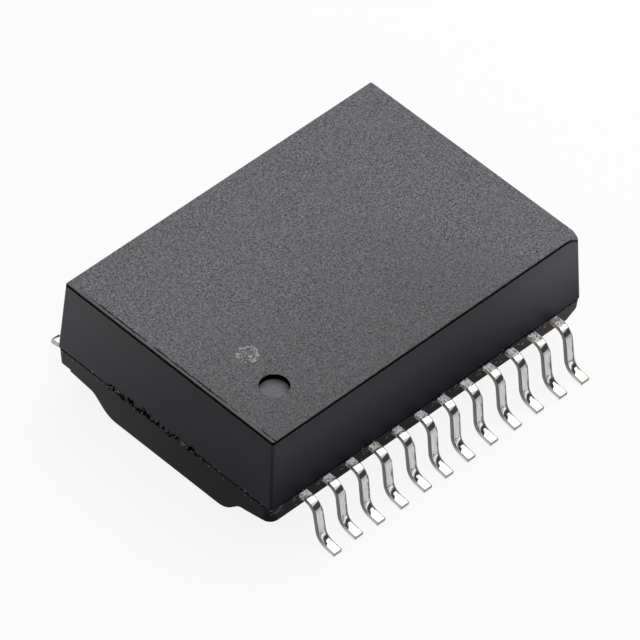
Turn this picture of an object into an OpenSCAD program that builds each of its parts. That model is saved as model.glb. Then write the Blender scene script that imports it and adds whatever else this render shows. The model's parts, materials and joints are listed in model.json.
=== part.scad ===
// Gigabit LAN transformer module with gull-wing leads, for surface mounting.
// Four channels stand side by side in one epoxy moulding. Each has a wound
// transformer core towards the chip row (-Y) and a wound choke core towards
// the line row (+Y), and three leads in each row.
// Frame: +Z up, X along the lead rows, Y across them. The origin is on the
// solder plane, under the middle of the body. Lengths are in millimetres.

/* [Moulded body] */
// Length at the parting line, along the lead rows
body_length = 17.28; // [16.6:0.02:19]
// Width at the parting line, across the lead rows
body_width = 12.15; // [11.8:0.01:13.5]
// Height of the upper half, from the parting line to the top face
upper_height = 3.6; // [3.2:0.01:5]
// Draft of the upper half's walls, in degrees
upper_draft = 2.8; // [0.5:0.1:4]
// Draft of the lower half's walls, in degrees
lower_draft = 3.4; // [0.5:0.1:4]
// Radius of the upper half's upright corners
upper_corner = 0.12; // [0.12:0.01:0.4]
// Radius of the lower half's upright corners
lower_corner = 0.22; // [0.1:0.01:0.6]
// Radius of the lower upright corner below the index dimple
index_corner = 0.45; // [0.1:0.01:0.8]
// Radius that blunts the far upper corner of the chip side
blunt_corner = 0.6; // [0.2:0.01:0.8]
// Radius of the edge round the top face
top_edge = 0.1; // [0.02:0.01:0.1]
// Height and depth of the fine groove along the parting line
seam_groove = 0.06; // [0.02:0.01:0.08]

/* [Underside] */
// Depth of the flange that carries the leads, below the parting line
flange_depth = 0.85; // [0.65:0.01:1]
// Width of the flange outside its step
flange_width = 0.58; // [0.3:0.01:0.8]
// Drop of the step inside the flange, on the line side
flange_step = 0.1; // [0.05:0.01:0.2]
// Width of the sloping shelf inside the step
shelf_width = 1.05; // [0.6:0.01:1.4]
// Fall of the shelf towards the belly
shelf_fall = 0.15; // [0.02:0.01:0.2]
// Drop from the end of the shelf to the belly
belly_drop = 0.86; // [0.7:0.01:0.95]
// Slope of the belly's flanks, in degrees
belly_slope = 45; // [35:1:50]
// Radius of the hollow where the shelf turns down into a flank
flank_hollow = 0.6; // [0.2:0.01:0.7]
// Radius of the round where a flank turns into the belly
flank_round = 1.07; // [0.6:0.01:1.1]
// Offset of the underside's form from the middle of the body
underside_offset = -0.12; // [-0.2:0.01:0.2]
// Length of the relief cut along both walls at one lower corner
relief_length = 0.75; // [0.3:0.01:1]
// Height of the relief cut above the flange's lower face
relief_height = 0.5; // [0.2:0.01:0.6]

/* [Marks of the mould] */
// Diameter of the round index dimple in the top face
dimple_d = 1.25; // [0.6:0.05:2]
// Depth of the index dimple
dimple_depth = 0.3; // [0.05:0.01:0.4]
// Distance of the dimple from the end of the body, at the parting line
dimple_from_end = 2.39; // [1.5:0.01:4]
// Distance of the dimple from the chip side of the body, at the parting line
dimple_from_side = 2.39; // [1.5:0.01:4]
// Length of the broken gate along the seam of the end wall
gate_length = 5.4; // [2:0.1:8]
// Middle of the broken gate, measured across the body
gate_offset = 0.4; // [-1:0.1:1]
// Height of the broken gate
gate_height = 0.3; // [0.1:0.01:0.4]
// Deepest bite of the break into the end wall
gate_bite = 0.14; // [0.05:0.01:0.25]
// Number of bites along the break
gate_bites = 16; // [6:1:24]
// Steepest tilt of a bite, in degrees
gate_tilt = 25; // [0:1:40]

/* [Leads] */
// Pitch of the leads
lead_pitch = 1.27; // [1.25:0.01:1.3]
// Offset of both lead rows along the body, from its middle
lead_row_offset = 0.145; // [-0.2:0.005:0.2]
// Width of a lead
lead_width = 0.42; // [0.36:0.01:0.55]
// Thickness of a lead
lead_thickness = 0.2; // [0.15:0.01:0.26]
// Depth of the top of the leads below the parting line
lead_below_seam = 0.13; // [0.05:0.01:0.3]
// Fall from the top of the shoulder to the solder plane
lead_fall = 2.13; // [2:0.01:2.6]
// Straight run of a lead from the wall to its first bend
shoulder_run = 0.42; // [0.3:0.01:1]
// Radius of the shoulder bend, at the middle of the metal
shoulder_bend = 0.4; // [0.2:0.01:0.6]
// Radius of the foot bend, at the middle of the metal
foot_bend = 0.58; // [0.2:0.01:0.7]
// Lean of the leg away from upright, in degrees
leg_lean = 8; // [0:0.5:20]
// Straight run of the foot on the solder plane
foot_run = 0.45; // [0.3:0.01:1]
// Length of the tail of a lead inside the body
tail_run = 1.4; // [1.2:0.01:1.7]
// Distance from the wall to the anchor notches of a tail
anchor_place = 0.3; // [0.15:0.01:0.35]
// Length of the anchor notches, along the tail
anchor_length = 0.14; // [0.1:0.01:0.2]
// Depth of the anchor notches into both sides of a tail
anchor_depth = 0.08; // [0.04:0.01:0.12]

/* [Cores and windings] */
// Outside diameter of a ferrite core
core_od = 3.05; // [2.8:0.01:3.1]
// Bore of a ferrite core
core_id = 1.27; // [1.2:0.01:1.5]
// Height of a ferrite core
core_height = 2.06; // [1.5:0.02:2.3]
// Radius of a core's edges
core_edge = 0.18; // [0.1:0.01:0.3]
// Distance of a core's axis from the middle of the body
core_offset = 2; // [1.9:0.01:2.1]
// Diameter of the enamelled wire
wire_d = 0.12; // [0.08:0.01:0.13]
// Turns of each half winding of a transformer
transformer_turns = 4; // [2:1:4]
// Turns of each winding of a choke
choke_turns = 5; // [3:1:7]
// Angle that a half winding of a transformer covers
half_sector = 60; // [56:1:64]
// Angle that a winding of a choke covers
choke_sector = 135; // [110:1:140]
// Radius of the solder over a wire on a lead's tail
solder_radius = 0.16; // [0.15:0.01:0.18]
// Length of the solder over a wire, between its round ends
solder_length = 0.3; // [0.2:0.01:0.35]

/* [Fits] */
// Room between a wire and a core, and between neighbouring wires
winding_gap = 0.02; // [0.01:0.01:0.03]
// Room between the epoxy and what is moulded into it
moulding_gap = 0.01; // [0.005:0.005:0.02]

/* [Hidden] */
channels = 4;
leads_per_channel = 3;
leads_per_row = channels * leads_per_channel;
middle_lead = 2;
channel_pitch = lead_pitch * leads_per_channel;
rows = ["chip", "line"];

round_fn = 64;
corner_fn = 32;
edge_fn = 16;
wire_sides = 5;
skin = 0.01;
weld = 0.0001;
past = 1;

// Heights
seam_z = lead_fall + lead_below_seam;
top_z = seam_z + upper_height;

// The underside's section, from the parting line down and from the wall inwards
step_depth = flange_depth + flange_step;
shelf_depth = step_depth + shelf_fall;
belly_depth = shelf_depth + belly_drop;
flange_y = body_width / 2 - flange_width;
shelf_y = flange_y - shelf_width;
flank_radii = flank_hollow + flank_round;
flank_run = (belly_drop - flank_radii * (1 - cos(belly_slope))) / sin(belly_slope);
belly_y = shelf_y - flank_radii * sin(belly_slope) - flank_run * cos(belly_slope);

// Lead path: how far the leg turns down, and what is left for its straight
leg_turn = 90 - leg_lean;
bend_fall = (shoulder_bend + foot_bend) * (1 - cos(leg_turn));
leg_run = (lead_fall - lead_thickness - bend_fall) / sin(leg_turn);
foot_start = shoulder_run + (shoulder_bend + foot_bend) * sin(leg_turn) + leg_run * cos(leg_turn);
tail_end = body_width / 2 - tail_run;

// Wires lie on the tails, cores stand on the wires
wire_z = lead_fall + wire_d / 2 + moulding_gap;
wire_lift = wire_d / 2 + winding_gap;
core_z = wire_z + wire_lift;
tap_z = lead_fall - lead_thickness - wire_d;
tap_spread = (wire_d + winding_gap + moulding_gap) / 2;
solder_end = tail_end + solder_length + 2 * solder_radius;
loop_y = solder_end + wire_d;
tap_rise = 2 * wire_d;

// A turn round a core's section: eight corners about the middle of the section
core_wall = (core_od - core_id) / 2;
core_mid = (core_od + core_id) / 4;
turn_r = core_wall / 2 + wire_lift;
turn_h = core_height / 2 + wire_lift;
turn_corner = core_edge / 2;
turn_steps = 8;
turn_path = [
    [turn_r - turn_corner, -turn_h],
    [turn_r, turn_corner - turn_h],
    [turn_r, turn_h - turn_corner],
    [turn_r - turn_corner, turn_h],
    [turn_corner - turn_r, turn_h],
    [-turn_r, turn_h - turn_corner],
    [-turn_r, turn_corner - turn_h],
    [turn_corner - turn_r, -turn_h]
];
wound_r = core_od / 2 + wire_lift + wire_d / 2;
wound_bore = core_id / 2 - wire_lift - wire_d / 2;
pass_r = wound_r + winding_gap + wire_d;

// Angles round a core, from the row direction: where its windings begin
rear = 90;
front = 270;
lead_in = 15;

function channel_x(c) = lead_row_offset + (c - (channels + 1) / 2) * channel_pitch;
function lead_x(i) = lead_row_offset + (i - (leads_per_row + 1) / 2) * lead_pitch;
function row_side(row) = row == "chip" ? -1 : 1;

// A broken edge is uneven, and the same every time: steps of the golden angle
// give values between -1 and 1, and sizes between one half and the whole
golden_angle = 137.5;
function uneven(i, k) = sin(golden_angle * (i + gate_bites * k));
function uneven_size(size, i, k) = size * (3 + uneven(i, k)) / 4;

// Body

// Four upright corner posts of a drafted box, thin, for a hull
module corner_posts(length, width, z, r, index_r) {
    for (sx = [-1, 1])
        for (sy = [-1, 1]) {
            post = sx < 0 && sy < 0 ? index_r : r;
            translate([sx * (length / 2 - post), sy * (width / 2 - post), z])
                cylinder(r = post, h = skin, $fn = corner_fn);
        }
}

module upper_half() {
    inset = 2 * upper_height * tan(upper_draft);
    hull() {
        corner_posts(body_length, body_width, seam_z, upper_corner, upper_corner);
        for (sx = [-1, 1])
            for (sy = [-1, 1])
                translate([sx * ((body_length - inset) / 2 - upper_corner),
                           sy * ((body_width - inset) / 2 - upper_corner), top_z - top_edge])
                    rotate_extrude($fn = corner_fn)
                        intersection() {
                            translate([upper_corner - top_edge, 0])
                                circle(top_edge, $fn = edge_fn);
                            square(upper_corner);
                        }
    }
}

module lower_walls() {
    inset = 2 * belly_depth * tan(lower_draft);
    hull() {
        corner_posts(body_length, body_width, seam_z - skin, lower_corner, index_corner);
        corner_posts(body_length - inset, body_width - inset, seam_z - belly_depth, lower_corner, index_corner);
    }
}

// Half of the underside's section, with the parting line at height 0
module underside_half(step) {
    difference() {
        union() {
            translate([0, -flange_depth])
                square([body_width, flange_depth]);
            polygon([[0, 0], [flange_y, 0], [flange_y, -flange_depth - step], [shelf_y, -shelf_depth],
                     [shelf_y - flank_hollow * sin(belly_slope),
                      -shelf_depth - flank_hollow * (1 - cos(belly_slope))],
                     [belly_y + flank_round * sin(belly_slope),
                      -belly_depth + flank_round * (1 - cos(belly_slope))],
                     [belly_y, -belly_depth], [0, -belly_depth]]);
            translate([belly_y, flank_round - belly_depth])
                circle(flank_round, $fn = round_fn);
        }
        translate([shelf_y, -shelf_depth - flank_hollow])
            circle(flank_hollow, $fn = round_fn);
    }
}

module lower_half() {
    intersection() {
        lower_walls();
        translate([-body_length, underside_offset, seam_z])
            rotate([90, 0, 90])
                linear_extrude(2 * body_length)
                    for (side = [0, 1])
                        mirror([side, 0])
                            underside_half(side == 0 ? flange_step : 0);
    }
}

// One lower corner is cut away by a slope, at the far end of the chip row
module corner_relief() {
    slope = atan(relief_height / (relief_length * sin(45)));
    translate([body_length / 2, -body_width / 2, seam_z - flange_depth + relief_height])
        rotate([0, -slope, -45])
            translate([-2 * past, -2 * past, -past])
                cube([4 * past, 4 * past, past]);
}

// One upper corner is rounded over, at the far end of the chip row
module corner_blunting() {
    inset = (upper_height - blunt_corner) * tan(upper_draft);
    translate([body_length / 2 - inset, inset - body_width / 2, top_z - blunt_corner + skin])
        rotate([90, 0, -45])
            translate([-blunt_corner, 0, 0])
                difference() {
                    translate([0, 0, -past])
                        cube([past, past, 2 * past]);
                    cylinder(r = blunt_corner, h = 4 * past, center = true, $fn = round_fn);
                }
}

module seam_line() {
    translate([0, 0, seam_z - seam_groove / 2])
        difference() {
            translate([-body_length, -body_width, 0])
                cube([2 * body_length, 2 * body_width, seam_groove]);
            translate([seam_groove - body_length / 2, seam_groove - body_width / 2, -past])
                cube([body_length - 2 * seam_groove, body_width - 2 * seam_groove, 2 * past]);
        }
}

// The gate broke away in uneven bites along a slot in the seam
module gate_break() {
    overlap = 1.25;
    step = gate_length / gate_bites;
    translate([-body_length / 2, gate_offset, seam_z])
        cube([gate_bite, gate_length, gate_height / 2], center = true);
    for (i = [1 : gate_bites]) {
        bite = uneven_size(gate_bite, i, 1);
        tall = uneven_size(gate_height, i, 2);
        lift = uneven(i, 3) * gate_height / 4;
        translate([-body_length / 2, gate_offset - gate_length / 2 + (i - 0.5) * step, seam_z + lift])
            rotate([gate_tilt * uneven(i, 4), gate_tilt * uneven(i, 5), 0])
                cube([2 * bite, overlap * step, tall], center = true);
    }
}

module index_dimple() {
    translate([dimple_from_end - body_length / 2, dimple_from_side - body_width / 2, top_z - dimple_depth])
        cylinder(d = dimple_d, h = dimple_depth + past, $fn = round_fn);
}

// Room in the epoxy for a wound core, with a post of epoxy through its bore
module core_pocket(c, side) {
    gap = wire_lift + wire_d / 2 + moulding_gap;
    height = core_height + 2 * gap;
    translate([channel_x(c), side * core_offset, core_z - gap])
        difference() {
            cylinder(r = wound_r + moulding_gap, h = height, $fn = round_fn);
            translate([0, 0, -past])
                cylinder(r = wound_bore - moulding_gap, h = height + 2 * past, $fn = round_fn);
        }
}

// Room for the wires under the cores and over the tails
module wire_room() {
    room = channels * channel_pitch;
    tap_floor = tap_z - wire_d / 2 - moulding_gap;
    reach = loop_y + wire_d / 2 + moulding_gap;
    inner = tail_end - moulding_gap;
    translate([lead_row_offset - room / 2, -reach, lead_fall])
        cube([room, 2 * reach, solder_radius + moulding_gap]);
    translate([lead_row_offset - room / 2, -inner, tap_floor])
        cube([room, 2 * inner, lead_fall + skin - tap_floor]);
}

module tail_slot(row, i) {
    wide = lead_width + 2 * moulding_gap;
    inner = tail_end - moulding_gap;
    mirror([0, row_side(row) > 0 ? 0 : 1, 0])
        translate([lead_x(i) - wide / 2, inner, lead_fall - lead_thickness - moulding_gap])
            cube([wide, body_width - inner, lead_thickness + 2 * moulding_gap]);
}

module moulded_body() {
    color("#3a3a3c")
        difference() {
            union() {
                upper_half();
                lower_half();
            }
            corner_relief();
            corner_blunting();
            seam_line();
            gate_break();
            index_dimple();
            wire_room();
            for (c = [1 : channels])
                for (side = [-1, 1])
                    core_pocket(c, side);
            for (row = rows)
                for (i = [1 : leads_per_row])
                    tail_slot(row, i);
        }
}

// Leads

// A bend that starts level at the top and turns down towards +X
module lead_bend(radius) {
    outer = radius + lead_thickness / 2;
    wedge = 2 * outer;
    intersection() {
        difference() {
            circle(outer, $fn = round_fn);
            circle(outer - lead_thickness, $fn = round_fn);
        }
        polygon([[0, 0], [0, wedge], [wedge, wedge], [wedge * sin(leg_turn), wedge * cos(leg_turn)]]);
    }
}

// Side view of a lead: the wall at 0, outwards along +X, the top at height 0
module lead_section() {
    mid = lead_thickness / 2;
    translate([-tail_run, -lead_thickness])
        square([tail_run + shoulder_run, lead_thickness]);
    translate([shoulder_run, -mid - shoulder_bend])
        lead_bend(shoulder_bend);
    translate([shoulder_run + shoulder_bend * sin(leg_turn), -mid - shoulder_bend * (1 - cos(leg_turn))])
        rotate(-leg_turn)
            translate([-weld, -mid])
                square([leg_run + 2 * weld, lead_thickness]);
    translate([foot_start, mid + foot_bend - lead_fall])
        rotate(180)
            lead_bend(foot_bend);
    translate([foot_start, -lead_fall])
        square([foot_run, lead_thickness]);
}

module lead(row, i) {
    color("#c8c8c4")
        translate([lead_x(i), row_side(row) * body_width / 2, lead_fall])
            rotate([90, 0, row_side(row) * 90])
                difference() {
                    translate([0, 0, -lead_width / 2])
                        linear_extrude(lead_width)
                            lead_section();
                    for (side = [-1, 1])
                        translate([-anchor_place, 0, side * lead_width / 2])
                            cube([anchor_length, past, 2 * anchor_depth], center = true);
                }
}

// Cores

module core(c, side) {
    translate([channel_x(c), side * core_offset, core_z])
        rotate_extrude($fn = round_fn) {
            translate([core_id / 2 + core_edge, 0])
                square([core_wall - 2 * core_edge, core_height]);
            translate([core_id / 2, core_edge])
                square([core_wall, core_height - 2 * core_edge]);
            for (r = [core_id / 2 + core_edge, core_od / 2 - core_edge])
                for (z = [core_edge, core_height - core_edge])
                    translate([r, z])
                        circle(core_edge, $fn = corner_fn);
        }
}

module transformer_core(c) {
    color("#3b3836")
        core(c, -1);
}

module choke_core(c) {
    color("#4a4038")
        core(c, 1);
}

// Wires

function unit(v) = v / norm(v);
function across(n, t) = unit(n - (n * t) * t);
function reversed(p) = [for (i = [len(p) - 1 : -1 : 0]) p[i]];
function mirrored(p, x) = [for (q = p) [2 * x - q[0], q[1], q[2]]];

// Direction of a path at point i, between its two stretches
function heading(p, i) =
    i == 0 ? unit(p[1] - p[0]) :
    i == len(p) - 1 ? unit(p[i] - p[i - 1]) :
    unit(unit(p[i + 1] - p[i]) + unit(p[i] - p[i - 1]));

// A side vector carried along the path without twist, from any slanting one
slant = [1, 2, 3];
function sides(p) = [
    for (i = 0, n = across(slant, heading(p, 0)); i < len(p);
         i = i + 1, n = i < len(p) ? across(n, heading(p, i)) : n) n
];

// Round wire along the points of a path
module wire(p) {
    n = sides(p);
    rings = [
        for (i = [0 : len(p) - 1])
            let (t = heading(p, i), b = cross(t, n[i]))
                for (k = [0 : wire_sides - 1])
                    let (a = 360 * k / wire_sides)
                        p[i] + wire_d / 2 * (cos(a) * n[i] + sin(a) * b)
    ];
    walls = [
        for (i = [0 : len(p) - 2])
            for (k = [0 : wire_sides - 1])
                let (a = i * wire_sides + k, b = i * wire_sides + (k + 1) % wire_sides)
                    [a, a + wire_sides, b + wire_sides, b]
    ];
    first = [for (k = [0 : wire_sides - 1]) k];
    last = [for (k = [wire_sides - 1 : -1 : 0]) (len(p) - 1) * wire_sides + k];
    polyhedron(points = rings, faces = concat([first], walls, [last]), convexity = 10);
}

// Points of a winding round the core at (x, y), from an angle through a sector
function winding(x, y, from, sector, turns) = [
    for (i = [0 : turns * turn_steps])
        let (a = from + sector * i / (turns * turn_steps),
             q = turn_path[i % turn_steps],
             r = core_mid + q[0])
            [x + r * cos(a), y + r * sin(a), core_z + core_height / 2 + q[1]]
];

// A point beside a wound core, at an angle round it
function beside(x, y, a, z) = [x + pass_r * cos(a), y + pass_r * sin(a), z];

// The end of a wire in the solder on a tail, and where it leaves the tail
function on_tail(x, side) = [
    [x, side * (solder_end - solder_radius), wire_z],
    [x, side * tail_end, wire_z]
];

// A half of the chip winding, from its end lead to its loop on the middle lead
function chip_half(x) = concat(
    on_tail(x - lead_pitch, -1),
    [beside(x, -core_offset, front - lead_in - half_sector, wire_z)],
    winding(x, -core_offset, front - lead_in - half_sector, half_sector, transformer_turns),
    [[x - tap_spread, -tail_end, wire_z], [x - tap_spread, -loop_y, wire_z]]
);

module chip_winding(c) {
    half = chip_half(channel_x(c));
    color("#b5532d")
        wire(concat(half, reversed(mirrored(half, channel_x(c)))));
}

// A half of the line winding: through the choke and round the transformer core,
// then back under the choke to its loop on the middle lead
function line_half(x) = concat(
    on_tail(x - lead_pitch, 1),
    winding(x, core_offset, rear + lead_in, choke_sector, choke_turns),
    winding(x, -core_offset, rear + lead_in, half_sector, transformer_turns),
    [[x - pass_r, -core_offset, tap_z], [x - tap_spread, tail_end - wire_d - tap_rise, tap_z],
     [x - tap_spread, tail_end - wire_d, wire_z], [x - tap_spread, loop_y, wire_z]]
);

module line_winding(c) {
    half = line_half(channel_x(c));
    color("#7d8c3a")
        wire(concat(half, reversed(mirrored(half, channel_x(c)))));
}

// Solder

// A half-round mound of solder on a tail, with a bore for each wire
module solder_joint(row, i) {
    bores = i % leads_per_channel == middle_lead ? [-tap_spread, tap_spread] : [0];
    translate([lead_x(i), row_side(row) * (tail_end + solder_end) / 2, lead_fall])
        difference() {
            union() {
                rotate([90, 0, 0])
                    cylinder(r = solder_radius, h = solder_length, center = true, $fn = corner_fn);
                for (end = [-1, 1])
                    translate([0, end * solder_length / 2, 0])
                        sphere(solder_radius, $fn = corner_fn);
            }
            translate([-past, -past, -2 * past])
                cube(2 * past);
            for (b = bores)
                translate([b, 0, wire_z - lead_fall])
                    rotate([90, 0, 0])
                        cylinder(d = wire_d + moulding_gap, h = 2 * past, center = true, $fn = corner_fn);
        }
}

module solder_joints() {
    color("#9a9c9e")
        for (row = rows)
            for (i = [1 : leads_per_row])
                solder_joint(row, i);
}

// The assembly
moulded_body();
solder_joints();
for (row = rows)
    for (i = [1 : leads_per_row])
        lead(row, i);
for (c = [1 : channels]) {
    transformer_core(c);
    choke_core(c);
    chip_winding(c);
    line_winding(c);
}
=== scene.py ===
"""Looks of a LAN transformer for surface mounting: a black epoxy moulding on two rows of tinned gull-wing leads.

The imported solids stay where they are. The leads are drawn again as smooth strips with rounded edges and small bends
from handling, and every finish is worked out from millimetres on the part.
"""
import json
import bpy
import numpy as np
from mathutils import Matrix, Vector


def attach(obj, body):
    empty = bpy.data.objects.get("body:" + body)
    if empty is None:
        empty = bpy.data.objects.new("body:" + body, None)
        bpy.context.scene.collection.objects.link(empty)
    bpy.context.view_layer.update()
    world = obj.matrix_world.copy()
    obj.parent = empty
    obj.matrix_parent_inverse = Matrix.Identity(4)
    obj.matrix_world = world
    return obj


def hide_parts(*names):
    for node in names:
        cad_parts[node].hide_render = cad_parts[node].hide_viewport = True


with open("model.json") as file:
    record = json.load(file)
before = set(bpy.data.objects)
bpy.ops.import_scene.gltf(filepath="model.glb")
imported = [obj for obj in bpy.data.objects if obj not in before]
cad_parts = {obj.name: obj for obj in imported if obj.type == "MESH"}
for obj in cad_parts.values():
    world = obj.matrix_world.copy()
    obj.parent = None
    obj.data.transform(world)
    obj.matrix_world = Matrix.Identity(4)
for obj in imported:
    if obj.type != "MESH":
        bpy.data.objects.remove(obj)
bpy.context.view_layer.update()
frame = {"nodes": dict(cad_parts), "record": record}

MM = 0.001

# Body, in millimetres: sizes at the parting line, heights above the solder plane
BODY_LENGTH, BODY_WIDTH = 17.28, 12.15
SEAM_Z, TOP_Z = 2.26, 5.86
DRAFT, BLUNT_CORNER = np.radians(2.8), 0.6
TOP_LENGTH, TOP_WIDTH = (side - 2 * (TOP_Z - SEAM_Z) * np.tan(DRAFT) for side in (BODY_LENGTH, BODY_WIDTH))
GATE_END, TOP_END = -BODY_LENGTH / 2, -TOP_LENGTH / 2

# Leads, in millimetres and degrees
LEADS_PER_ROW, LEAD_PITCH, ROW_OFFSET = 12, 1.27, 0.145
LEAD_WIDTH, LEAD_THICKNESS = 0.44, 0.2
ROLLED_EDGE, TRIMMED_EDGE, BURR_EDGE = 0.08, 0.03, 0.02
LEAD_FALL, TAIL_RUN, SHOULDER_RUN, FOOT_RUN = 2.13, 1.4, 0.26, 0.46
SHOULDER_BEND, FOOT_BEND, LEG_LEAN, FOOT_TILT = 0.58, 0.58, 8.0, 9.0
TOE_ROUND, TOE_SHRINK = 0.015, 0.94
BEND_STEPS, CORNER_STEPS, FOOT_STEPS, SHARP_ANGLE = 21, 6, 3, 40

# Bends from handling in the row behind, in millimetres at the toe: the random part, the outward part of the first
# lead, which the others have less of, and one lead that was knocked
LOOSE_BEND, FIRST_BEND = 0.03, 0.12
KNOCKED_LEAD, KNOCK = "line_lead_1", (-0.19, -0.13)

# Bend of each lead in the row that shows, aside and outward at the toe, in millimetres
CHIP_BENDS = ((0.08, 0.07), (0.05, -0.01), (-0.05, 0.05), (-0.03, 0.07), (0.01, 0.04), (-0.1, 0.08),
              (-0.1, 0.04), (-0.07, 0.02), (-0.06, 0.08), (-0.04, 0.04), (-0.05, 0.1), (-0.1, 0.14))

# Marks on the moulding, in millimetres
DOT_PLACE, DOT_D = (-5.863, -1.769), 1.0
DIMPLE_PLACE, DIMPLE_D, DIMPLE_DEPTH = (-6.25, -3.685), 1.25, 0.3
GATE_LENGTH, GATE_OFFSET, GATE_REACH = 5.4, 0.4, 0.3

# Lines on the moulding, in millimetres: the edge line below the top face, the parting line, painted as shade in
# its groove, to each side of its middle, and the rim and the scribed line inwards from the gate end of the top
EDGE_LINE, SEAM_LINE, RIM_WIDTH, SCRIBE_LINE = (0.05, 0.105), 0.03, 0.14, (0.15, 0.21)

# Size of the patches in each pattern, in millimetres
CHIP, SKIP, GRAIN, FLECK, CROWD, RIPPLE = 0.22, 0.9, 0.06, 0.09, 1.6, 0.25
TEAR, CRUMB, DOT_GRIT, SPECK = 0.45, 0.2, 0.1, 0.3
RESIDUE_GRIT, DENT = 0.07, 0.25

# Colours of the moulding; the black is also painted shade in the parting line and on the dimple's wall
GRAIN_DARK, GRAIN_PALE, PIT, GLINT = "#151517", "#8a8a8e", "#0d0d0f", "#a2a2a6"
# Painted shade darkens the top towards the front corner; painted light lifts the walls towards the far end and the
# back
PAINTED_SHADE_TOP, RIM_GREY = "#2c2c2e", "#5b5b5e"
# The underside colour is painted shade below the parting line, where the moulding tucks in under the leads
WALL, PAINTED_LIT_WALL, SHADED_UNDERSIDE, BLACK_LINE_AND_SHADE = "#1b1b21", "#2c2c32", "#0f0f13", "#030303"
DIMPLE_DARK, DIMPLE_PALE = "#4e4e51", "#7e7e82"
CRUMB_GREY, BURNT_DOT, SPECK_GREY, RESIN_FILM = "#7c7c7f", "#a9a79f", "#8c8c89", "#66635e"

# Colours of the leads; the pale edge is painted light on the rear row's edges and toe
# The leg's scratched and rubbed tins are greyed by painted shade, for the darker floor that the leg mirrors
TIN, SCRATCHED_SHADED_TIN, RUBBED_SHADED_TIN = "#f4f3f0", "#b6b6b5", "#e4e4e2"
# The sheared side and the rolled lip are partly duller sheared metal and partly painted shade for the dark places they
# mirror
SHEARED_SIDE_SHADE, ROLLED_LIP_SHADE, CUT_TOE, PAINTED_LIT_EDGE = "#555452", "#62615f", "#868079", "#efeeeb"
RESIDUE_DARK, RESIDUE_PALE, BURNT_RESIDUE = "#655d52", "#fffefa", "#6a5238"

# Masks, in millimetres: the width over which most of them fade, sharp or soft, and the depth of the top face
CRISP, FADE, TOP_SKIN = 0.01, 0.02, 0.012

# Painted light that makes the moulding lighter and shinier towards the far end and the back, in millimetres: where
# it starts and would be full, and the power it gathers by at the back
PAINTED_LIGHT_START, PAINTED_LIGHT_FULL, PAINTED_LIGHT_GATHER = 0.5, BODY_LENGTH / 2 + 3, 2.4

# How far chips, the tear and the dents move a line from one side to the other, in millimetres
CHIP_WANDER, TEAR_WANDER, DENT_WANDER = 0.1, 1.8, 0.2

# Torn gate, in millimetres: the tear below and above the parting line, the lip of the slot and half its height
TEAR_BELOW, TEAR_ABOVE, SLOT_LIP, SLOT_HALF = 0.14, 0.1, 0.03, 0.25

# Roughness of the walls and open faces of the moulding, and of bright and dulled tin
WALL_ROUGH, TOP_ROUGH, BRIGHT_ROUGH, DULL_ROUGH = 0.42, 0.62, 0.07, 0.36

# How much the moulding mirrors: its open faces, its black lines and painted shade, and, without and with the painted
# light, its walls above and below the parting line
TOP_SHINE, LINE_SHINE, WALL_SHINE, LOW_SHINE = 0.5, 0.01, (0.085, 0.29), (0.03, 0.14)

# Share of the shine low and high on an end wall and on a long wall, and these heights over the parting line
END_WALL_RISE, LONG_WALL_RISE, RISE_HEIGHTS = (0.72, 1.12), (0.2, 1.6), (0.1, 2.8)

# Relief of the grain: its height in millimetres, its strength, and the share of it that ripples the walls
GRAIN_HEIGHT, GRAIN_RELIEF, RIPPLE_SHARE = 0.03, 0.6, 0.05

# Residue on the roots, in millimetres: its length, its ragged end, and its growth along the row
CRUST_LENGTH, CRUST_RAGGED, CRUST_GROWTH, GROWTH_SPAN = 0.42, 0.3, 0.16, (-2.0, 7.0)

# Edges of a lead, in millimetres: the sheared side, the lip on the leg, darkened by painted shade, and how much it
# widens on the way down, the lip on the foot, also with painted shade, and the cut toe
SIDE_SKIN, LEG_LIP, LIP_GROWTH, FOOT_LIP, TOE_CUT = 0.015, 0.08, 0.05, 0.055, 0.02

# Relief of a lead, in millimetres: scratches, dents, residue and the place across that the heel tips about; the
# tip itself is per millimetre, because it grows with the square of the distance from there
SCRATCH_DEPTH, DENT_DEPTH, CRUST_DEPTH, TIP_PLACE, HEEL_TIP = 0.0024, 0.02, 0.024, 0.06, 1.2

# Turn of the shoulder bend at which the dulled leg starts, in degrees
LEG_TURN = 62

# Lamps, all at one distance in millimetres: name, way from the part, size in millimetres, power in watts, and
# whether shiny metal mirrors it
LAMP_DISTANCE = 110
LAMPS = (("back softbox", (0.47, 0.47, 0.75), 110, 0.038, True),
         ("right softbox", (0.52, -0.03, 0.85), 110, 0.04, True),
         ("front fill", (-0.25, -0.75, 0.61), 80, 0.022, False))

# Tent: brightness above, in the dim band and at the horizon, and the height of a ray where the first and last fade
TENT_TOP, TENT_BAND, TENT_HORIZON = 0.85, 0.06, 0.6
TOP_FADE, HORIZON_FADE = (0.6, 0.66), (0.16, 0.1)

# Hole in the tent that the photograph was taken through: the way to it from the part, the cosine from there over
# which it darkens, and the share of light left in it
TENT_HOLE, HOLE_FADE, HOLE_LIGHT = (-0.502, -0.482, 0.718), (0.95, 0.98), 0.03

# Floor: half its width in millimetres, its colour and roughness, and the share of its light that no shadow takes
FLOOR_HALF, PAPER, PAPER_ROUGH, FLOOR_GLOW = 400, "#f2f2f2", 0.9, 0.88

# Camera, fitted to the photograph, about the middle of the parting plane
CAMERA = dict(azimuth=-46.216, elevation=45.908, roll=2.705, distance=318.882, right=-0.011, up=0.067, lens=450.0,
              sensor=36.0)


def srgb(code):
    """A hex colour as linear red, green, blue and alpha."""
    c = np.array([int(code[i:i + 2], 16) for i in (1, 3, 5)]) / 255
    return (*np.where(c <= 0.04045, c / 12.92, ((c + 0.055) / 1.055) ** 2.4), 1.0)


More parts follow.
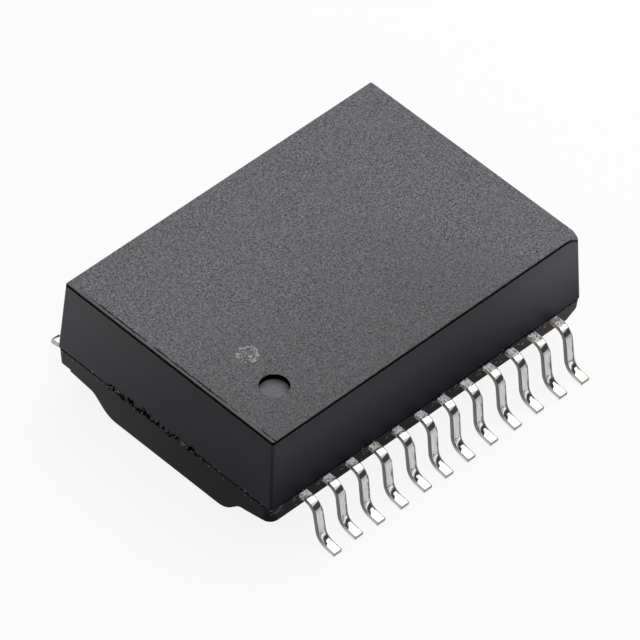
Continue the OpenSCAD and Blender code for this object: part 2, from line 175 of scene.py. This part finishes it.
def node(tree, kind, feeds=(), **settings):
    """Adds a shader node. Settings name its properties, or its sockets with _ for a space; feeds pair a socket with a
    number, a hex colour or another node's output."""
    n = tree.nodes.new(kind)
    for name, value in settings.items():
        if hasattr(n, name):
            setattr(n, name, value)
        else:
            n.inputs[name.replace("_", " ")].default_value = value
    for socket, value in feeds:
        if isinstance(value, bpy.types.NodeSocket):
            tree.links.new(value, n.inputs[socket])
        else:
            n.inputs[socket].default_value = srgb(value) if isinstance(value, str) else value
    return n


def new_material(name):
    """An empty node material, its tree, its surface shader and its object coordinates in millimetres."""
    m = bpy.data.materials.new(name)
    m.use_nodes = True
    tree = m.node_tree
    place = node(tree, "ShaderNodeTexCoord").outputs["Object"]
    in_mm = node(tree, "ShaderNodeVectorMath", [(0, place)], operation="SCALE", Scale=1 / MM)
    return m, tree, tree.nodes["Principled BSDF"], in_mm.outputs["Vector"]


def dress(tree, shader, **sockets):
    """Links values to the sockets of a surface shader, named with _ for a space."""
    for name, value in sockets.items():
        tree.links.new(value, shader.inputs[name.replace("_", " ")])


def calc(tree, operation, *values, clamp=False):
    """One step of arithmetic on sockets and numbers."""
    return node(tree, "ShaderNodeMath", enumerate(values), operation=operation, use_clamp=clamp).outputs[0]


def times(tree, first, *others):
    """The product of sockets and numbers."""
    for other in others:
        first = calc(tree, "MULTIPLY", first, other)
    return first


def larger(tree, first, *others):
    """The largest of several sockets."""
    for other in others:
        first = calc(tree, "MAXIMUM", first, other)
    return first


def wander(tree, value, pattern, reach):
    """A value moved by a pattern from 0 to 1, by up to half the reach either way."""
    return calc(tree, "ADD", value, calc(tree, "MULTIPLY_ADD", pattern, reach, -reach / 2))


def parts(tree, vector):
    """The three parts of a vector."""
    return node(tree, "ShaderNodeSeparateXYZ", [(0, vector)]).outputs


def noise(tree, place, size, detail, roughness=0.5):
    """Noise from 0 to 1 whose largest patches have a size in the units of the place."""
    return node(tree, "ShaderNodeTexNoise", [("Vector", place)], Scale=1 / size, Detail=detail,
                Roughness=roughness).outputs["Fac"]


def ramp(tree, value, start, end, low=0.0, high=1.0, curve="LINEAR"):
    """Low up to where a value is start, high from end on, and a straight or curved way between them."""
    return node(tree, "ShaderNodeMapRange", [("Value", value), ("To Min", low), ("To Max", high)],
                interpolation_type=curve, From_Min=start, From_Max=end).outputs[0]


def share(tree, factor, low, high):
    """Number low, going to number high as the factor goes to 1."""
    return ramp(tree, factor, 0.0, 1.0, low, high)


def blend(tree, factor, a, b):
    """Socket or number a, going to b as the factor goes to 1."""
    return node(tree, "ShaderNodeMix", [("Factor", factor), (2, a), (3, b)], data_type="FLOAT").outputs[0]


def mixed(tree, factor, a, b):
    """Colour a, going to colour b as the factor goes to 1; each is a hex value or a socket."""
    return node(tree, "ShaderNodeMix", [("Factor", factor), (6, a), (7, b)], data_type="RGBA").outputs[2]


def band(tree, value, low, high, soft):
    """1 where a value lies between low and high, falling to 0 over soft on both sides; None leaves a side open."""
    rise = 1.0 if low is None else ramp(tree, value, low - soft, low, curve="SMOOTHSTEP")
    fall = 1.0 if high is None else ramp(tree, value, high + soft, high, curve="SMOOTHSTEP")
    return times(tree, rise, fall)


def epoxy_material():
    """Silica-filled epoxy, transfer moulded: the top face has the mould's spark-eroded grain, which scatters light
    and looks grey, the walls are smooth and nearly black, with painted light that makes them lighter and shinier
    towards the far end and the back, the edge between them is a black line, and painted shade darkens the parting
    line, the dimple's wall and the moulding below the parting line."""
    m, tree, shader, mm = new_material("transfer-moulded black epoxy")
    x, y, z = parts(tree, mm)
    facing = parts(tree, node(tree, "ShaderNodeNewGeometry").outputs["Normal"])
    lengthwise = band(tree, calc(tree, "ABSOLUTE", facing[1]), 0.7, None, 0.2)
    slant = calc(tree, "SUBTRACT", x, y)
    top = larger(tree, band(tree, z, TOP_Z - TOP_SKIN, None, TOP_SKIN), blunt_mask(tree, slant, facing))
    under = band(tree, z, None, SEAM_Z - SEAM_LINE, FADE)
    hole = band(tree, away(tree, mm, DIMPLE_PLACE), None, DIMPLE_D / 2 + CRISP, CRISP)
    hole_floor = times(tree, hole, band(tree, z, SEAM_Z, TOP_Z - DIMPLE_DEPTH + CRISP, CRISP))
    # Painted shade: the dimple's wall is coloured black
    painted_shade_dimple_wall = times(tree, hole, band(tree, z, TOP_Z - DIMPLE_DEPTH + FADE, TOP_Z - FADE, CRISP))
    open_face = larger(tree, top, hole_floor)
    # Painted light and shade: walls lighter and shinier, and the top lighter, towards the far end and the back, darker
    # towards the front corner
    far = ramp(tree, x, PAINTED_LIGHT_START, PAINTED_LIGHT_FULL, curve="SMOOTHERSTEP")
    deep = ramp(tree, y, -BODY_WIDTH / 2, BODY_WIDTH / 2)
    painted_light_far = calc(tree, "ADD", far, deep, clamp=True)
    painted_wall_light = calc(tree, "ADD", far, calc(tree, "POWER", deep, PAINTED_LIGHT_GATHER, clamp=True), clamp=True)

    torn, crumbled = gate_masks(tree, mm, x, y, z)
    edge, seam_shade, scribe = line_masks(tree, mm, x, z, slant, lengthwise)
    # Black lines and marks, with painted shade in the parting line and on the dimple's wall
    black_marks_and_shade = calc(tree, "SUBTRACT", larger(tree, edge, seam_shade, torn), crumbled, clamp=True)
    black_marks_and_shade = calc(tree, "SUBTRACT", black_marks_and_shade, top, clamp=True)
    black_marks_and_shade = larger(tree, black_marks_and_shade, painted_shade_dimple_wall, times(tree, scribe, top, 0.85))

    grain = noise(tree, mm, GRAIN, 3.0, 0.75)
    sparkle = ramp(tree, grain, 0.34, 0.7)
    colour = mixed(tree, painted_wall_light, WALL, PAINTED_LIT_WALL)
    # Painted shade below the parting line
    colour = mixed(tree, under, colour, SHADED_UNDERSIDE)
    colour = mixed(tree, top, colour, top_colour(tree, mm, x, sparkle, painted_light_far))
    colour = mixed(tree, hole_floor, colour, mixed(tree, sparkle, DIMPLE_DARK, DIMPLE_PALE))
    colour = mixed(tree, crumbled, colour, CRUMB_GREY)
    colour = mixed(tree, black_marks_and_shade, colour, BLACK_LINE_AND_SHADE)
    colour = mixed(tree, times(tree, dot_mask(tree, mm), top), colour, BURNT_DOT)
    colour = mixed(tree, specks(tree, x, y, z, lengthwise), colour, SPECK_GREY)
    colour = mixed(tree, times(tree, root_flash(tree, mm, x, z), lengthwise), colour, RESIN_FILM)

    shine = blend(tree, open_face, wall_gloss(tree, z, painted_wall_light, under, lengthwise), TOP_SHINE)
    shine = blend(tree, black_marks_and_shade, shine, LINE_SHINE)
    ripple = times(tree, noise(tree, mm, RIPPLE, 2.0), RIPPLE_SHARE)
    height = blend(tree, top, ripple, grain)
    bump = node(tree, "ShaderNodeBump", [("Height", height)], Strength=GRAIN_RELIEF, Distance=GRAIN_HEIGHT * MM)
    dress(tree, shader, Base_Color=colour, Roughness=share(tree, open_face, WALL_ROUGH, TOP_ROUGH),
          Specular_IOR_Level=shine, Normal=bump.outputs[0])
    return m


def top_colour(tree, mm, x, sparkle, painted_light_far):
    """Grey of the grained top: dark and pale grains, with pits and glints in crowds, darkened by painted shade
    towards the front corner, and a plain rim beyond the scribed line."""
    flecks = noise(tree, mm, FLECK, 1.5, 0.6)
    crowd = ramp(tree, noise(tree, mm, CROWD, 1.0), 0.38, 0.6, low=0.25)
    colour = mixed(tree, sparkle, GRAIN_DARK, GRAIN_PALE)
    colour = mixed(tree, times(tree, ramp(tree, flecks, 0.42, 0.32), crowd, 0.9), colour, PIT)
    colour = mixed(tree, times(tree, ramp(tree, flecks, 0.62, 0.72), crowd, 0.6), colour, GLINT)
    # Painted shade: the top is darker towards the front corner
    colour = mixed(tree, calc(tree, "MULTIPLY_ADD", painted_light_far, 0.6, 0.6, clamp=True), PAINTED_SHADE_TOP, colour)
    return mixed(tree, band(tree, x, None, TOP_END + RIM_WIDTH, CRISP), colour, RIM_GREY)


def wall_gloss(tree, z, painted_wall_light, under, lengthwise):
    """How much the smooth walls mirror: more where the painted light is, towards the far end and the back, more
    towards the top, above all on the long walls, and least below the parting line."""
    least, most = (share(tree, lengthwise, *pair) for pair in zip(END_WALL_RISE, LONG_WALL_RISE))
    rise = ramp(tree, z, SEAM_Z + RISE_HEIGHTS[0], SEAM_Z + RISE_HEIGHTS[1], least, most)
    film = times(tree, share(tree, painted_wall_light, *WALL_SHINE), rise)
    return blend(tree, under, film, share(tree, painted_wall_light, *LOW_SHINE))


def line_masks(tree, mm, x, z, slant, lengthwise):
    """The black edge below the top face, the parting line, painted black as shade in its groove and fainter on the
    long walls, and the broken line scribed along the gate end of the top; all three are chipped."""
    chips = noise(tree, mm, CHIP, 2.0, 0.7)
    chipped_x, chipped_z = wander(tree, x, chips, CHIP_WANDER), wander(tree, z, chips, CHIP_WANDER)
    crest = calc(tree, "ADD", chipped_z, blunt_drop(tree, slant))
    edge = band(tree, crest, TOP_Z - EDGE_LINE[1], TOP_Z - EDGE_LINE[0], 0.025)
    seam_shade = band(tree, chipped_z, SEAM_Z - SEAM_LINE, SEAM_Z + SEAM_LINE, FADE)
    scribe = band(tree, chipped_x, TOP_END + SCRIBE_LINE[0], TOP_END + SCRIBE_LINE[1], 0.015)
    skip = ramp(tree, noise(tree, mm, SKIP, 1.0), 0.38, 0.5)
    return edge, times(tree, seam_shade, share(tree, lengthwise, 1.0, 0.4)), times(tree, scribe, skip)


def blunt_mask(tree, slant, facing):
    """The round that blunts the far corner: near that corner, and facing up, along and out together."""
    askew = calc(tree, "MINIMUM", facing[0], times(tree, facing[1], -1.0))
    return times(tree, band(tree, slant, (TOP_LENGTH + TOP_WIDTH) / 2 - 1.2, None, FADE),
                 band(tree, facing[2], 0.3, None, 0.1), band(tree, askew, 0.1, None, 0.03))


def blunt_drop(tree, slant):
    """How far the round of the far corner lies below the top face, in millimetres: its radius less the height of the
    circle over the place on the corner's diagonal."""
    inset = (TOP_Z - SEAM_Z - BLUNT_CORNER) * np.tan(DRAFT)
    tip = (BODY_LENGTH + BODY_WIDTH) / 2 - 2 * inset
    over = ramp(tree, slant, tip - BLUNT_CORNER * np.sqrt(2), tip, high=BLUNT_CORNER)
    height = calc(tree, "SQRT", calc(tree, "SUBTRACT", BLUNT_CORNER ** 2, times(tree, over, over)))
    return calc(tree, "SUBTRACT", BLUNT_CORNER, height)


def gate_masks(tree, mm, x, y, z):
    """The torn face of the broken gate: ragged black blotches along the parting line of the gate end, and grey crumbs
    in the slot between them."""
    ragged = wander(tree, z, noise(tree, mm, TEAR, 4.0, 0.75), TEAR_WANDER)
    line = band(tree, ragged, SEAM_Z - TEAR_BELOW, SEAM_Z + TEAR_ABOVE, 0.05)
    crumbs = noise(tree, mm, CRUMB, 3.0, 0.7)
    width = band(tree, y, GATE_OFFSET - GATE_LENGTH / 2, GATE_OFFSET + GATE_LENGTH / 2, 0.3)
    end = band(tree, x, None, GATE_END + GATE_REACH, CRISP)
    slot = band(tree, x, GATE_END + SLOT_LIP, GATE_END + GATE_REACH, CRISP)
    height = band(tree, z, SEAM_Z - SLOT_HALF, SEAM_Z + SLOT_HALF, FADE)
    torn = times(tree, line, ramp(tree, crumbs, 0.48, 0.57), width, end)
    return torn, times(tree, ramp(tree, crumbs, 0.5, 0.44), slot, width, height)


def away(tree, mm, place):
    """Distance from an upright line through a place on the top, in millimetres."""
    flat = node(tree, "ShaderNodeVectorMath", [(0, mm), (1, (1, 1, 0))], operation="MULTIPLY")
    reach = node(tree, "ShaderNodeVectorMath", [(0, flat.outputs[0]), (1, (*place, 0))], operation="DISTANCE")
    return reach.outputs["Value"]


def dot_mask(tree, mm):
    """The laser-burnt dot that marks the first lead: a disc of grit, densest on its rim."""
    r = away(tree, mm, DOT_PLACE)
    disc = band(tree, r, None, DOT_D / 2 - 0.06, 0.08)
    rim = band(tree, r, DOT_D / 2 - 0.2, DOT_D / 2, 0.08)
    grit = noise(tree, mm, DOT_GRIT, 2.0, 0.7)
    return times(tree, disc, calc(tree, "GREATER_THAN", grit, share(tree, rim, 0.6, 0.54)))


def specks(tree, x, y, z, lengthwise):
    """Pale specks of dust and flash on the flange, each a short streak along the parting line; on the end walls
    they are many and keep close to that line."""
    along = calc(tree, "ADD", x, y)
    spread = node(tree, "ShaderNodeCombineXYZ", [(0, along), (1, times(tree, z, 1.8))])
    cells = node(tree, "ShaderNodeTexVoronoi", [("Vector", spread.outputs[0])], voronoi_dimensions="2D",
                 Scale=1 / SPECK, Randomness=1.0)
    pick = node(tree, "ShaderNodeSeparateColor", [(0, cells.outputs["Color"])]).outputs
    near = calc(tree, "LESS_THAN", cells.outputs["Distance"], share(tree, pick[1], 0.04, 0.2))
    rare = calc(tree, "GREATER_THAN", pick[0], share(tree, lengthwise, 0.5, 0.82))
    close, flange = (band(tree, z, SEAM_Z - below, SEAM_Z + 0.12, FADE) for below in (0.22, 0.75))
    return times(tree, near, rare, larger(tree, close, lengthwise), flange)


def root_flash(tree, mm, x, z):
    """Wrinkled films of resin that the mould squeezed out beside the root of each lead."""
    beat = calc(tree, "FRACT", calc(tree, "MULTIPLY_ADD", x, 1 / LEAD_PITCH, -ROW_OFFSET / LEAD_PITCH))
    drawn = node(tree, "ShaderNodeMapping", [("Vector", mm)], Scale=(5.0, 5.0, 14.0))
    fold = ramp(tree, noise(tree, drawn.outputs[0], 1.0, 3.0, 0.7), 0.53, 0.61)
    beside = band(tree, beat, 0.12, 0.62, 0.1)
    return times(tree, fold, beside, band(tree, z, SEAM_Z - 0.42, SEAM_Z - 0.02, 0.06))


def tin_material():
    """Bright tin on stamped copper-alloy strip: shoulder and foot mirror their surroundings, the leg is dulled by
    fine scratches along it and greyed by painted shade, the bending tool has tipped the heel to one side, most at
    its edges, the sheared edges are grey, partly by painted shade, the toe is grey, and moulding residue crusts the
    root. The rear row's edges and toe are painted pale, and matt towards the toe, as painted light."""
    m, tree, shader, mm = new_material("bright tin plating")
    run = lead_path()[3]
    leg_start = SHOULDER_RUN + SHOULDER_BEND * np.radians(LEG_TURN)
    heel_start, toe_end = run[-BEND_STEPS - FOOT_STEPS], run[-1]
    along, across, _ = parts(tree, node(tree, "ShaderNodeTexCoord").outputs["UV"])
    x, y, _ = parts(tree, mm)
    grit = noise(tree, mm, RESIDUE_GRIT, 3.0, 0.7)
    dents = noise(tree, mm, DENT, 1.0)
    drawn = node(tree, "ShaderNodeMapping", [("Vector", mm)], Scale=(35.2, 1.92, 1.92))
    scratch = noise(tree, drawn.outputs[0], 1.0, 3.0, 0.7)

    reach = calc(tree, "ADD", along, times(tree, grit, CRUST_RAGGED))
    reach = calc(tree, "SUBTRACT", reach, ramp(tree, x, *GROWTH_SPAN, high=CRUST_GROWTH))
    root = band(tree, reach, None, CRUST_LENGTH, 0.04)
    leg = band(tree, along, leg_start, heel_start + 0.12, 0.04)
    heel = times(tree, band(tree, along, heel_start + 0.1, None, 0.12),
                 band(tree, along, None, heel_start + 0.58, 0.25))
    foot = band(tree, along, heel_start, None, 0.1)
    toe = band(tree, along, toe_end - TOE_CUT, None, 0.005)
    side = band(tree, calc(tree, "ABSOLUTE", across), LEAD_WIDTH / 2 - SIDE_SKIN, None, SIDE_SKIN)
    wavy = wander(tree, across, dents, DENT_WANDER)
    wavy = calc(tree, "ADD", wavy, ramp(tree, along, 0.9, heel_start + 0.2, high=LIP_GROWTH))
    leg_lip = times(tree, band(tree, wavy, LEAD_WIDTH / 2 - LEG_LIP, None, 0.03),
                    band(tree, along, leg_start, heel_start + 0.35, 0.1))
    foot_lip = times(tree, band(tree, across, LEAD_WIDTH / 2 - FOOT_LIP, None, CRISP), foot)
    rolled = larger(tree, leg_lip, foot_lip)
    sheared = larger(tree, side, rolled)
    # Painted light: the rear row's edges and toe stay pale, and go matt towards the toe
    painted_light_rear = times(tree, band(tree, y, 0.0, None, CRISP), larger(tree, sheared, toe))
    matt = times(tree, painted_light_rear, band(tree, along, heel_start + 0.3, None, 0.1))

    residue = mixed(tree, ramp(tree, grit, 0.4, 0.5), RESIDUE_DARK, RESIDUE_PALE)
    residue = mixed(tree, times(tree, ramp(tree, dents, 0.56, 0.66), 0.6), residue, BURNT_RESIDUE)
    # Painted shade on the sheared side, greyer on the leg than on the foot, and on the rolled lip
    side_shade = ramp(tree, along, heel_start + 0.75, heel_start + 0.3, 0.5, 0.9, curve="SMOOTHSTEP")
    # Painted shade greys the scratched leg
    colour = mixed(tree, leg, TIN, mixed(tree, ramp(tree, scratch, 0.3, 0.7), SCRATCHED_SHADED_TIN, RUBBED_SHADED_TIN))
    colour = mixed(tree, times(tree, side, side_shade), colour, SHEARED_SIDE_SHADE)
    colour = mixed(tree, times(tree, rolled, 0.85), colour, ROLLED_LIP_SHADE)
    colour = mixed(tree, toe, colour, CUT_TOE)
    colour = mixed(tree, painted_light_rear, colour, PAINTED_LIT_EDGE)
    colour = mixed(tree, root, colour, residue)

    lean = calc(tree, "SUBTRACT", across, TIP_PLACE)
    tipped = times(tree, heel, lean, calc(tree, "ABSOLUTE", lean), -HEEL_TIP)
    relief = times(tree, scratch, SCRATCH_DEPTH)
    for part in (tipped, times(tree, heel, dents, DENT_DEPTH), times(tree, root, grit, CRUST_DEPTH)):
        relief = calc(tree, "ADD", relief, part)
    bump = node(tree, "ShaderNodeBump", [("Height", relief)], Strength=1.0, Distance=MM)
    smooth = node(tree, "ShaderNodeNewGeometry").outputs["Normal"]
    worn = node(tree, "ShaderNodeMix", [("Factor", side), (4, bump.outputs[0]), (5, smooth)], data_type="VECTOR")
    dress(tree, shader, Base_Color=colour, Metallic=share(tree, larger(tree, root, matt), 1.0, 0.0),
          Roughness=share(tree, larger(tree, leg, sheared, root), BRIGHT_ROUGH, DULL_ROUGH),
          Normal=worn.outputs[1])
    return m


def plain_material(name, code, roughness, metallic=0.0):
    """One colour and one roughness, for what the moulding hides."""
    m, _, shader, _ = new_material(name)
    shader.inputs["Base Color"].default_value = srgb(code)
    shader.inputs["Roughness"].default_value = roughness
    shader.inputs["Metallic"].default_value = metallic
    return m


def tube_mesh(name, rings, uv):
    """A closed tube through rings of points, given as rings x points x 3 in millimetres. Each ring's last point joins
    its first, a flat face closes either end, and uv gives two numbers for each point."""
    n, k = rings.shape[:2]
    i, j = np.meshgrid(np.arange(n - 1), np.arange(k), indexing="ij")
    after = (j + 1) % k
    quads = np.stack([i * k + j, i * k + after, (i + 1) * k + after, (i + 1) * k + j], -1).reshape(-1, 4)
    caps = [list(range(k - 1, -1, -1)), list(range((n - 1) * k, n * k))]
    mesh = bpy.data.meshes.new(name)
    mesh.from_pydata((rings.reshape(-1, 3) * MM).tolist(), [], quads.tolist() + caps)
    corners = np.empty(len(mesh.loops), np.int32)
    mesh.loops.foreach_get("vertex_index", corners)
    mesh.uv_layers.new(name="UVMap").data.foreach_set("uv", uv.reshape(-1, 2)[corners].astype(np.float32).ravel())
    mesh.polygons.foreach_set("use_smooth", np.ones(len(mesh.polygons), bool))
    mesh.set_sharp_from_angle(angle=np.radians(SHARP_ANGLE))
    return mesh


def add_piece(name, mesh, material, nodes):
    """Puts a mesh into the scene as a piece of the object, in place of the named solids."""
    piece = bpy.data.objects.new(name, mesh)
    bpy.context.scene.collection.objects.link(piece)
    mesh.materials.append(material)
    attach(piece, "root")
    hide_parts(*nodes)


def lead_path():
    """Middle line of a lead in its own plane: distance out from the wall, height, downward turn and length of strip
    outside the wall at each point. Straight tail and shoulder, a bend down, a leaning leg, and a bend back to a foot
    that dips to its toe."""
    turn, tilt, mid = np.radians(90 - LEG_LEAN), np.radians(FOOT_TILT), LEAD_THICKNESS / 2
    over = np.linspace(0, turn, BEND_STEPS)
    back = np.linspace(turn, tilt, BEND_STEPS)
    tail = np.array([-TAIL_RUN, -0.3, 0.0])
    quarters = np.array([0.25, 0.5, 0.75])
    foot = np.array([FOOT_RUN / 2, FOOT_RUN - TOE_ROUND, FOOT_RUN])
    shoulder_z = LEAD_FALL - mid
    bend_fall = SHOULDER_BEND * (1 - np.cos(turn)) + FOOT_BEND * (np.cos(tilt) - np.cos(turn))
    foot_fall = FOOT_RUN * np.sin(tilt) + mid * np.cos(tilt)
    leg = (shoulder_z - bend_fall - foot_fall) / np.sin(turn)
    knee, knee_z = SHOULDER_RUN + SHOULDER_BEND * np.sin(turn), shoulder_z - SHOULDER_BEND * (1 - np.cos(turn))
    heel, heel_z = knee + leg * np.cos(turn), knee_z - leg * np.sin(turn)
    end = heel + FOOT_BEND * (np.sin(turn) - np.sin(tilt))
    end_z = heel_z - FOOT_BEND * (np.cos(tilt) - np.cos(turn))
    out = np.concatenate([tail, SHOULDER_RUN + SHOULDER_BEND * np.sin(over), knee + leg * np.cos(turn) * quarters,
                          heel + FOOT_BEND * (np.sin(turn) - np.sin(back)), end + foot * np.cos(tilt)])
    z = np.concatenate([np.full(len(tail), shoulder_z), shoulder_z - SHOULDER_BEND * (1 - np.cos(over)),
                        knee_z - leg * np.sin(turn) * quarters, heel_z - FOOT_BEND * (np.cos(back) - np.cos(turn)),
                        end_z - foot * np.sin(tilt)])
    angle = np.concatenate([np.zeros(len(tail)), over, np.full(len(quarters), turn), back, np.full(len(foot), tilt)])
    run = np.concatenate([[0], np.cumsum(np.hypot(np.diff(out), np.diff(z)))]) - TAIL_RUN
    return out, z, angle, run


def strip_profile():
    """Section of the strip as points across and through it: a rectangle with one outer edge rolled over by the
    punch, the other trimmed by a second stroke, and both inner edges nearly sharp."""
    a = np.radians(np.linspace(0, 90, CORNER_STEPS))
    a = np.concatenate([a, a + np.pi / 2, a + np.pi, a + 3 * np.pi / 2])
    r = np.repeat([ROLLED_EDGE, TRIMMED_EDGE, BURR_EDGE, BURR_EDGE], CORNER_STEPS)
    cx = np.repeat([1, -1, -1, 1], CORNER_STEPS) * (LEAD_WIDTH / 2 - r)
    cz = np.repeat([1, 1, -1, -1], CORNER_STEPS) * (LEAD_THICKNESS / 2 - r)
    return cx + r * np.cos(a), cz + r * np.sin(a)


def lead_mesh(name, x, side, sway):
    """The strip's section carried along the middle line, square to it, on one side of the body. The leg swings aside
    and out by a little sway that grows with the way down. The last ring is drawn in, so that the sheared toe has a
    soft edge."""
    out, z, angle, run = lead_path()
    across, through = strip_profile()
    shrink = np.ones(len(out))
    shrink[-1] = TOE_SHRINK
    across = across * shrink[:, None]
    through = through * shrink[:, None]
    down = ((LEAD_FALL - z) / LEAD_FALL).clip(0, 1)[:, None]
    px = x - side * across + sway[0] * down
    py = side * (BODY_WIDTH / 2 + out[:, None] + through * np.sin(angle)[:, None] + sway[1] * down)
    pz = z[:, None] + through * np.cos(angle)[:, None]
    uv = np.stack([np.broadcast_to(run[:, None], px.shape), across], -1)
    return tube_mesh(name, np.stack([px, py, pz], -1), uv)


def build_leads(material):
    """Twenty-four strips in two rows, each in place of its own solid. Handling has bent each a little: those of the
    row that shows by their own amounts, those behind at random, and the first ones there the most."""
    rng = np.random.default_rng(3)
    for row, side in (("chip", -1), ("line", 1)):
        for i in range(1, LEADS_PER_ROW + 1):
            x = ROW_OFFSET + (i - (LEADS_PER_ROW + 1) / 2) * LEAD_PITCH
            solid = f"{row}_lead_{i}"
            sway = rng.uniform(-LOOSE_BEND, LOOSE_BEND, 2) + [0, FIRST_BEND / i]
            if row == "chip":
                sway = np.array(CHIP_BENDS[i - 1])
            if solid == KNOCKED_LEAD:
                sway = sway + KNOCK
            mesh = lead_mesh(f"{solid}_strip", x, side, sway)
            add_piece(f"{solid}_strip", mesh, material, [solid])


def dress_solids(materials):
    """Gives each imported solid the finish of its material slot."""
    slots = {s["node"]: s["material_slot"] for s in frame["record"]["subparts"]}
    for name, obj in frame["nodes"].items():
        obj.data.materials.clear()
        obj.data.materials.append(materials[slots[name]])


def build_floor():
    """A wide pale sheet under the feet. The eye sees it nearly white, with the part's shadow kept on it."""
    m, tree, shader, _ = new_material("white paper sweep")
    shader.inputs["Base Color"].default_value = srgb(PAPER)
    shader.inputs["Roughness"].default_value = PAPER_ROUGH
    glow = node(tree, "ShaderNodeEmission", Strength=1.0)
    seen = node(tree, "ShaderNodeLightPath").outputs
    either = calc(tree, "ADD", seen["Is Camera Ray"], seen["Is Glossy Ray"], clamp=True)
    either = calc(tree, "ADD", either, seen["Is Transmission Ray"], clamp=True)
    mix = node(tree, "ShaderNodeMixShader", [(0, times(tree, either, FLOOR_GLOW)), (1, shader.outputs[0]),
                                             (2, glow.outputs[0])])
    tree.links.new(mix.outputs[0], tree.nodes["Material Output"].inputs["Surface"])
    half = FLOOR_HALF * MM
    mesh = bpy.data.meshes.new("floor")
    mesh.from_pydata([(-half, -half, 0), (half, -half, 0), (half, half, 0), (-half, half, 0)], [], [(0, 1, 2, 3)])
    mesh.materials.append(m)
    floor = bpy.data.objects.new("floor", mesh)
    bpy.context.scene.collection.objects.link(floor)


def build_light():
    """A soft tent that is bright above, dim lower down and brighter again at the horizon, dark round the hole that the
    photograph was taken through, two large softboxes, over the back right and the right, and a weak fill from the
    front."""
    world = bpy.data.worlds.new("soft studio tent")
    bpy.context.scene.world = world
    world.use_nodes = True
    tree = world.node_tree
    tree.nodes.clear()
    way = node(tree, "ShaderNodeTexCoord").outputs["Generated"]
    height = parts(tree, way)[2]
    dome = ramp(tree, height, *TOP_FADE, TENT_BAND, TENT_TOP, curve="SMOOTHSTEP")
    horizon = ramp(tree, height, *HORIZON_FADE, 0.0, TENT_HORIZON, curve="SMOOTHSTEP")
    facing = node(tree, "ShaderNodeVectorMath", [(0, way), (1, TENT_HOLE)], operation="DOT_PRODUCT")
    hole = ramp(tree, facing.outputs["Value"], *HOLE_FADE, 1.0, HOLE_LIGHT, curve="SMOOTHSTEP")
    strength = times(tree, calc(tree, "ADD", dome, horizon), hole)
    glow = node(tree, "ShaderNodeBackground", [("Strength", strength)])
    node(tree, "ShaderNodeOutputWorld", [(0, glow.outputs[0])])
    for name, direction, size, power, mirrored in LAMPS:
        lamp = bpy.data.lights.new(name, "AREA")
        lamp.shape, lamp.size, lamp.energy = "SQUARE", size * MM, power
        box = bpy.data.objects.new(name, lamp)
        box.visible_glossy = mirrored
        bpy.context.scene.collection.objects.link(box)
        place = Vector(direction) * LAMP_DISTANCE * MM
        box.matrix_world = Matrix.Translation(place) @ (-place).to_track_quat("-Z", "Y").to_matrix().to_4x4()


def build_camera():
    """The photograph's own view: far away with a long lens, turned a little about its axis."""
    a, e, r = np.radians([CAMERA["azimuth"], CAMERA["elevation"], CAMERA["roll"]])
    back = np.array([np.sin(a) * np.cos(e), -np.cos(a) * np.cos(e), np.sin(e)])
    level = np.array([np.cos(a), np.sin(a), 0])
    rise = np.cross(back, level)
    right, up = np.cos(r) * level + np.sin(r) * rise, np.cos(r) * rise - np.sin(r) * level
    place = back * CAMERA["distance"] + right * CAMERA["right"] + up * CAMERA["up"] + np.array([0, 0, SEAM_Z])
    data = bpy.data.cameras.new("camera")
    data.lens, data.sensor_width = CAMERA["lens"], CAMERA["sensor"]
    data.clip_start, data.clip_end = 1 * MM, 10.0
    camera = bpy.data.objects.new("camera", data)
    turn = Matrix(np.stack([right, up, back], 1).tolist()).to_4x4()
    camera.matrix_world = Matrix.Translation(Vector((place * MM).tolist())) @ turn
    bpy.context.scene.collection.objects.link(camera)
    bpy.context.scene.camera = camera


tin = tin_material()
dress_solids({
    "black_epoxy": epoxy_material(),
    "tinned_lead": tin,
    "ferrite": plain_material("sintered ferrite", "#3b3836", 0.7),
    "copper_enamel_red": plain_material("red enamelled copper wire", "#b5532d", 0.3, 0.6),
    "copper_enamel_green": plain_material("green enamelled copper wire", "#7d8c3a", 0.3, 0.6),
    "solder": plain_material("solder", "#9a9c9e", 0.3, 1.0),
})
build_leads(tin)
build_floor()
build_light()
build_camera()
bpy.context.scene.view_settings.view_transform = "Standard"
